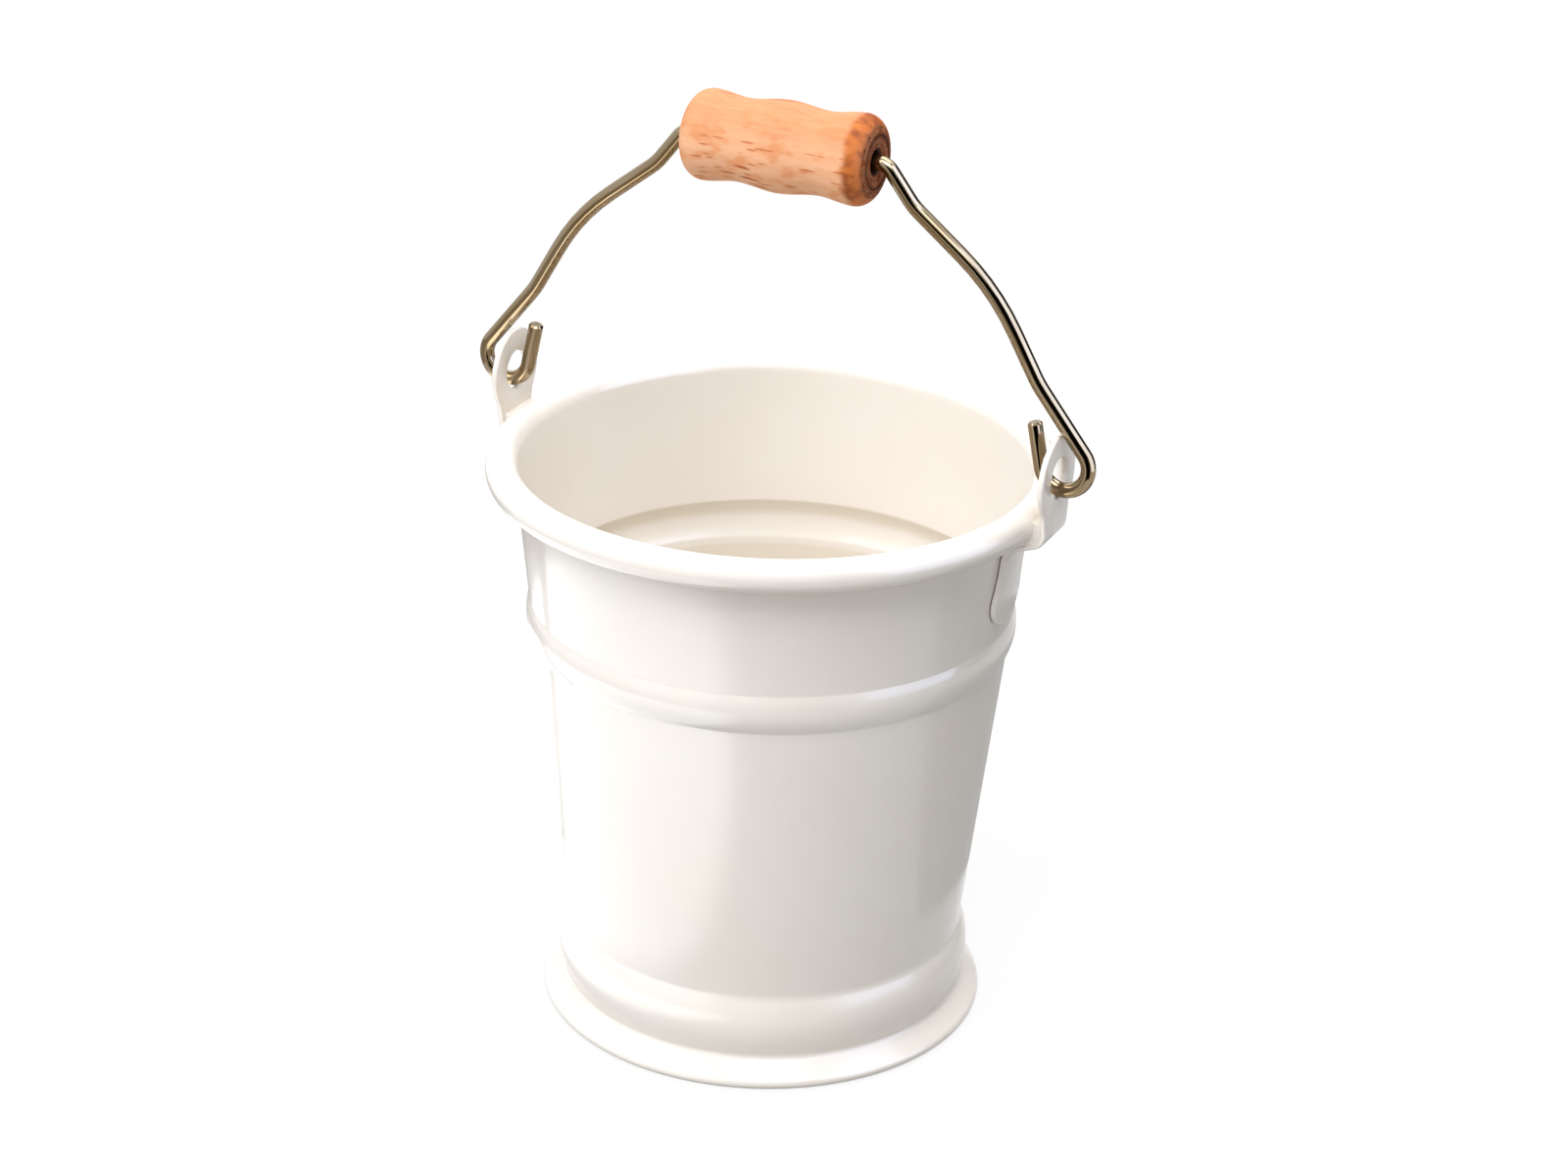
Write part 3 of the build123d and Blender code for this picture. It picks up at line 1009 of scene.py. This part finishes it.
@dataclass
class WireBail:
    """Bent wire with a hook at each end, from eye to eye over the grip."""

    pivot_height: float
    grip_height: float
    grip_half: float
    ear: StrapEar
    radius: float = 0.00125
    hook_radius: float = 0.00405
    hook_leg_gap: float = 0.001
    hook_lean: float = math.radians(12.0)
    hook_tip: float = 0.0076
    tip_chamfer: float = 0.0003
    arm_gap: float = 0.00025
    ankle_run: float = 0.009
    ankle_bend: float = 0.015
    knee_inset: float = 0.01355
    knee_drop: float = 0.0175
    knee_bend: float = 0.038
    exit_angle: float = math.radians(52.0)
    exit_run: float = 0.0079
    exit_bend: float = 0.003
    shoulder_bend: float = 0.010
    grip_play: float = 0.0002
    sides: int = 48
    run: float = 0.0015

    def half_line(self) -> Line:
        """Middle line of one half, from the middle of the grip to the tip of the hook, in (X, Z)."""
        ear_out = self.ear.middle + self.ear.sheet / 2
        ear_top = self.ear.eye_height + self.ear.head_radius
        leg = self.ear.middle - self.ear.sheet / 2 - self.hook_leg_gap - self.radius
        hook = flat(leg + self.hook_radius, self.pivot_height + self.hook_radius)
        corner = flat(ear_out, ear_top)
        clear = self.radius + self.arm_gap
        hook_start, way = passing(corner, clear, hook, self.hook_radius)
        ankle = corner + turned(way, QUARTER) * clear - way * self.ankle_run
        knee = flat(hook.x - self.knee_inset, self.grip_height - self.knee_drop)
        setback = self.exit_bend * math.tan(self.exit_angle / 2)
        leave = flat(self.grip_half + self.grip_play + setback, self.grip_height)
        shoulder = leave + turned(flat(self.exit_run, 0.0), -self.exit_angle)
        arm = rounded(
            [flat(0.0, self.grip_height), leave, shoulder, knee, ankle, hook_start],
            [self.exit_bend, self.shoulder_bend, self.knee_bend, self.ankle_bend],
        )
        sweep = math.atan2(way.y, way.x) + 1.5 * math.pi - self.hook_lean
        curl = bend(hook_start, way, self.hook_radius, -sweep)
        tip_way = turned(way, -sweep)
        tip = curl[-1] + tip_way * self.hook_tip
        return joined(arm, curl, [tip - tip_way * self.tip_chamfer, tip])

    def build(self) -> Piece:
        """Mesh of the whole wire."""
        half = spaced(self.half_line(), self.run)
        line = [flat(-point.x, point.y) for point in half[:0:-1]] + half
        turns = [2 * math.pi * side / self.sides for side in range(self.sides)]
        rows = []
        for index, (place, way) in enumerate(zip(line, normals(line))):
            ends = index in (0, len(line) - 1)
            size = self.radius - self.tip_chamfer if ends else self.radius
            across = Vector((way.x, 0.0, way.y))
            middle = Vector((place.x, 0.0, place.y))
            rows.append(
                [middle + across * (size * math.cos(a)) + Vector((0, size * math.sin(a), 0)) for a in turns]
            )
        lengths = travelled(line, loop=False)
        poles = [[sum(row, Vector()) / len(row)] for row in (rows[0], rows[-1])]
        rows = [poles[0]] + rows + [poles[1]]
        lengths = [lengths[0]] + lengths + [lengths[-1]]
        return ringed("bail_rod", rows, lengths, loop=False)


@dataclass
class TurnedGrip:
    """Turned grip with two shallow waists and a through bore, along X."""

    centre: Vector
    half: float
    swell: float = 0.0075
    waist: float = 0.00678
    crest: float = 0.00745
    waist_inset: float = 0.0085
    end_round: float = 0.003
    bore: float = 0.002
    bore_chamfer: float = 0.0004
    dish: float = 0.0002
    run: float = 0.0008

    def side_line(self) -> Line:
        """Half of the turned side, from the middle swell to the crest, as (radius, along)."""
        waist_out = self.half - self.waist_inset
        crest_out = self.half - self.end_round
        inner = waist_out
        outer = crest_out - waist_out
        pull = 6 * ((self.crest - self.waist) / outer**2 - (self.swell - self.waist) / inner**2)
        slope = pull / (4 / inner + 4 / outer)
        spans = (
            (0.0, self.swell, 0.0, waist_out, self.waist, slope),
            (waist_out, self.waist, slope, crest_out, self.crest, 0.0),
        )
        line: Line = []
        for x0, y0, m0, x1, y1, m1 in spans:
            count = math.ceil((x1 - x0) / self.run)
            for step in range(count + 1):
                t = step / count
                width = x1 - x0
                radius = (
                    y0 * (2 * t**3 - 3 * t**2 + 1)
                    + m0 * width * (t**3 - 2 * t**2 + t)
                    + y1 * (3 * t**2 - 2 * t**3)
                    + m1 * width * (t**3 - t**2)
                )
                line.append(flat(radius, x0 + width * t))
        return joined(line)

    def build(self) -> Piece:
        """Mesh of the grip, with its own origin at its centre."""
        side = self.side_line()
        rounding = bend(side[-1], flat(0.0, 1.0), self.end_round, QUARTER)
        face_edge = rounding[-1]
        mouth = flat(self.bore + self.bore_chamfer, self.half - self.dish)
        throat = flat(self.bore, mouth.y - self.bore_chamfer)
        half = joined(side, rounding, spaced([face_edge, mouth], self.run), [throat])
        other = [flat(point.x, -point.y) for point in half[:0:-1]]
        bore = spaced([half[-1], other[0]], self.run)[1:-1]
        piece = lathe("beech_grip", half + bore + other, loop=True)
        piece.data.transform(Matrix.Rotation(QUARTER, 4, "Y"))
        piece.location = self.centre
        return piece


# Studio


@dataclass(frozen=True)
class Panel:
    """Rectangle turned to the pail, placed by the way that it stands from it, in degrees."""

    name: str
    azimuth: float
    elevation: float
    distance: float
    width: float
    height: float


@dataclass(frozen=True)
class Softbox(Panel):
    """Soft lamp."""

    radiance: float


@dataclass(frozen=True)
class Card(Panel):
    """Plain card that the polished wire and the coat mirror."""

    shade: Colour
    shades_light: bool = False


@dataclass(frozen=True)
class FloorCard:
    """Level sector, on the floor or over it, that only the polished wire and the coat mirror."""

    name: str
    azimuths: Pair
    radii: Pair
    shade: Colour
    lift: float = 0.0


def glowing(name: str, shade: Colour) -> Material:
    """Material that shines evenly."""
    return new_shading(name).surface("Emission", {"Color": shade, "Strength": 1.0})


def flat_piece(name: str, points: list, faces: list, material: Material) -> Piece:
    """Make a flat piece of the studio.

    Args:
        name: name of the piece.
        points: its corners.
        faces: corner numbers of each face.
        material: what it is made of.

    Returns:
        The piece.
    """
    mesh = bpy.data.meshes.new(name)
    mesh.from_pydata(points, [], faces)
    mesh.materials.append(material)
    return add_object(mesh)


def rectangle(name: str, width: float, height: float, material: Material) -> Piece:
    """Flat rectangle about its own origin."""
    points = [(x * width / 2, y * height / 2, 0) for x, y in ((-1, -1), (1, -1), (1, 1), (-1, 1))]
    return flat_piece(name, points, [(0, 1, 2, 3)], material)


def mirrored_only(piece: Piece, diffuse: bool = False) -> None:
    """Hide a piece from all but mirrored rays, or from all but those and the soft light."""
    piece.visible_camera = piece.visible_shadow = False
    piece.visible_diffuse = diffuse


@dataclass
class Studio:
    """Floor, world, lamps, cards and camera."""

    aim: Vector = field(default_factory=lambda: Vector((0.0, 0.0, 0.07)))
    white: Colour = (1.0, 1.0, 1.0)
    floor_size: float = 6.0
    floor_colour: Colour = (0.82, 0.82, 0.82)
    floor_bounce: Colour = (0.34, 0.335, 0.33)
    floor_glow: float = 0.80
    ambient: float = 0.62
    lens: float = 82.203
    sensor: float = 36.0
    clip_start: float = 0.01
    camera_place: Vector = field(default_factory=lambda: Vector((0.23424, -0.49759, 0.321375)))
    camera_azimuth: float = math.radians(25.0)
    camera_elevation: float = math.radians(24.122)
    camera_roll: float = math.radians(1.70)
    sheen_azimuths: Pair = (-134.0, 16.0)
    sheen_radii: Pair = (0.042, 0.185)
    sheen_radiance: float = 2.9
    sheen_soft: float = 0.55
    sheen_corner: float = 3.0
    sector_lift: float = 0.0006
    sector_runs: int = 48
    softboxes: tuple[Softbox, ...] = (
        Softbox("key_softbox", -38.0, 40.0, 1.0, 0.75, 0.75, 2.8),
        Softbox("left_softbox", -130.0, 35.0, 1.0, 0.7, 0.7, 0.6),
        Softbox("front_softbox", 26.0, 59.0, 1.0, 0.6, 0.5, 5.0),
        Softbox("back_softbox", 170.0, 65.0, 1.0, 0.7, 0.7, 3.4),
    )
    cards: tuple[Card, ...] = (
        Card("right_card", 112.0, 12.0, 0.42, 0.50, 0.55, (0.03, 0.028, 0.027), True),
        Card("front_card", 28.0, 10.0, 0.90, 0.94, 0.80, (0.004, 0.003, 0.002)),
        Card("bright_card", 90.0, 16.0, 0.38, 0.34, 0.70, (2.9, 3.45, 4.9)),
        Card("back_right_card", 160.0, 10.0, 0.60, 0.60, 0.60, (0.14, 0.125, 0.11)),
    )
    floor_cards: tuple[FloorCard, ...] = (
        FloorCard("front_floor_card", (0.0, 55.0), (0.20, 0.95), (0.004, 0.003, 0.002)),
        FloorCard("back_floor_card", (100.0, 200.0), (0.06, 0.17), (0.52, 0.515, 0.51)),
        FloorCard("left_floor_card", (200.0, 268.0), (0.06, 0.30), (0.34, 0.335, 0.33)),
        FloorCard("level_card", (-140.0, 18.0), (0.062, 0.24), (0.50, 0.46, 0.38), 0.1005),
    )

    def set_up(self, piece: Piece, panel: Panel) -> None:
        """Stand a piece where its panel is, turned to the pail.

        Args:
            piece: lamp or card.
            panel: its place; azimuth 0 is in front and grows towards +X.
        """
        a, e = math.radians(panel.azimuth), math.radians(panel.elevation)
        way = Vector((math.sin(a) * math.cos(e), -math.cos(a) * math.cos(e), math.sin(e)))
        piece.location = self.aim + way * panel.distance
        piece.rotation_euler = (-way).to_track_quat("-Z", "Y").to_euler()

    def seen(self, make: Shading) -> Socket:
        """1 for rays that show the background: camera, mirrored and refracted ones."""
        path = make.add("LightPath")
        mirrored = make.maths("MAXIMUM", path["Is Glossy Ray"], path["Is Transmission Ray"])
        return make.maths("MAXIMUM", path["Is Camera Ray"], mirrored)

    def build_world(self) -> None:
        """White surround for what is seen, and a lower even light on the object."""
        world = bpy.data.worlds.new("studio_surround")
        bpy.context.scene.world = world
        make = Shading(world)
        lit = make.add("Background", {"Color": self.white, "Strength": self.ambient})[0]
        shown = make.add("Background", {"Color": self.white, "Strength": 1.0})[0]
        make.surface("MixShader", {0: self.seen(make), 1: lit, 2: shown}, "OutputWorld")

    def build_floor(self) -> Piece:
        """White floor that keeps a faint shadow and throws little light back on the pail."""
        make = new_shading("studio_floor")
        seen = self.seen(make)
        bounce = make.add("BsdfDiffuse", {"Color": self.floor_bounce})[0]
        shown = make.add("BsdfDiffuse", {"Color": self.floor_colour})[0]
        paint = make.add("MixShader", {0: seen, 1: bounce, 2: shown})[0]
        glow = make.add("Emission", {"Color": self.white, "Strength": 1.0})[0]
        share = make.maths("MULTIPLY", seen, self.floor_glow)
        material = make.surface("MixShader", {0: share, 1: paint, 2: glow})
        return rectangle("studio_floor", self.floor_size, self.floor_size, material)

    def sector(self, name: str, azimuths: Pair, radii: Pair, material: Material) -> Piece:
        """Sector of a ring just over the floor, which only mirrored rays see.

        Args:
            name: name of the piece.
            azimuths: its two sides in degrees.
            radii: its inner and outer radius.
            material: what it is made of.

        Returns:
            The sector.
        """
        first, last = (math.radians(azimuth) for azimuth in azimuths)
        points = []
        for step in range(self.sector_runs + 1):
            a = first + (last - first) * step / self.sector_runs
            points += [(radius * math.sin(a), -radius * math.cos(a), self.sector_lift) for radius in radii]
        faces = [(2 * k, 2 * k + 1, 2 * k + 3, 2 * k + 2) for k in range(self.sector_runs)]
        piece = flat_piece(name, points, faces, material)
        mirrored_only(piece)
        return piece

    def build_sheen(self) -> Piece:
        """Bright sheet on the floor, left of the pail, that fades towards its sides."""
        make = new_shading("floor_sheen")
        spot = make.add("SeparateXYZ", {"Vector": make.add("TexCoord")["Object"]})
        turn = make.maths("ARCTAN2", spot["X"], make.maths("MULTIPLY", spot["Y"], -1.0))
        flatwise = make.add("CombineXYZ", {"X": spot["X"], "Y": spot["Y"]})[0]
        reach = make.add("VectorMath", {0: flatwise}, operation="LENGTH")["Value"]
        sides = (turn, *(math.radians(a) for a in self.sheen_azimuths)), (reach, *self.sheen_radii)
        powers = []
        for value, low, high in sides:
            share = make.maths("MULTIPLY_ADD", value, 2 / (high - low), -(high + low) / (high - low))
            powers.append(make.maths("POWER", make.maths("ABSOLUTE", share), self.sheen_corner))
        fade = make.ramp(make.maths("ADD", *powers), self.sheen_soft, 1.0, self.sheen_radiance, 0.0)
        glow = make.add("Emission", {"Color": self.white, "Strength": fade})[0]
        material = make.surface("AddShader", {0: glow, 1: make.add("BsdfTransparent")[0]})
        return self.sector("floor_sheen", self.sheen_azimuths, self.sheen_radii, material)

    def build_softbox(self, box: Softbox) -> None:
        """Make one soft lamp.

        Args:
            box: its place, size and radiance.
        """
        lamp = bpy.data.lights.new(box.name, "AREA")
        lamp.shape = "RECTANGLE"
        lamp.size, lamp.size_y = box.width, box.height
        lamp.energy = math.pi * box.radiance * box.width * box.height
        piece = bpy.data.objects.new(box.name, lamp)
        bpy.context.scene.collection.objects.link(piece)
        self.set_up(piece, box)
        piece.visible_camera = False

    def build_camera(self) -> None:
        """Camera at the place and angle of the photograph."""
        camera = bpy.data.cameras.new("photo_camera")
        camera.lens = self.lens
        camera.sensor_width = self.sensor
        camera.sensor_fit = "HORIZONTAL"
        camera.clip_start = self.clip_start
        piece = bpy.data.objects.new("photo_camera", camera)
        bpy.context.scene.collection.objects.link(piece)
        placed = Matrix.Translation(self.camera_place) @ Matrix.Rotation(self.camera_azimuth, 4, "Z")
        tilted = placed @ Matrix.Rotation(QUARTER - self.camera_elevation, 4, "X")
        piece.matrix_world = tilted @ Matrix.Rotation(self.camera_roll, 4, "Z")
        bpy.context.scene.camera = piece

    def build(self) -> None:
        """Set up the whole studio."""
        self.build_world()
        self.build_floor()
        self.build_sheen()
        for card in self.cards:
            piece = rectangle(card.name, card.width, card.height, glowing(card.name, card.shade))
            self.set_up(piece, card)
            mirrored_only(piece, card.shades_light)
        for level in self.floor_cards:
            glow = glowing(level.name, level.shade)
            piece = self.sector(level.name, level.azimuths, level.radii, glow)
            piece.location.z = level.lift
        for box in self.softboxes:
            self.build_softbox(box)
        self.build_camera()
        bpy.context.scene.view_settings.view_transform = "Standard"
        log.info("studio: %d lamps, %d cards", len(self.softboxes), len(self.cards))


def joint_place(name: str) -> Vector:
    """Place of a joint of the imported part."""
    return Vector(next(joint["pos_m"] for joint in frame["joints"] if joint["name"] == name))


def main() -> None:
    """Build, dress and light the pail."""
    logging.basicConfig(level=logging.INFO, format="%(name)s %(message)s")
    enamel, wire, beech = IvoryEnamel(), BrightWire(), WaxedBeech()
    coat, plating, wood = enamel.material(), wire.material(), beech.material()

    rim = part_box("pail_body")[1]
    pail = EnamelPail(rim_radius=rim.x, height=rim.z)
    fit(pail.build_body(), Body.PAIL, enamel, coat, "pail_body")
    fit(pail.build_pan(), Body.PAIL, enamel, coat, "bottom_pan")

    ears = {side: StrapEar(side, pail) for side in EarSide}
    for side, ear in ears.items():
        fit(ear.build(), Body.PAIL, enamel, coat, f"ear_{side.name.lower()}")

    low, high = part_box("grip")
    centre = (low + high) / 2
    swing = joint_place("bail_swing")
    bail = WireBail(swing.z, centre.z, high.x, ears[EarSide.RIGHT])
    fit(bail.build(), Body.BAIL, wire, plating, "bail_wire")
    fit(TurnedGrip(centre, high.x).build(), Body.GRIP, beech, wood, "grip")

    Studio().build()


if __name__ == "__main__":
    main()
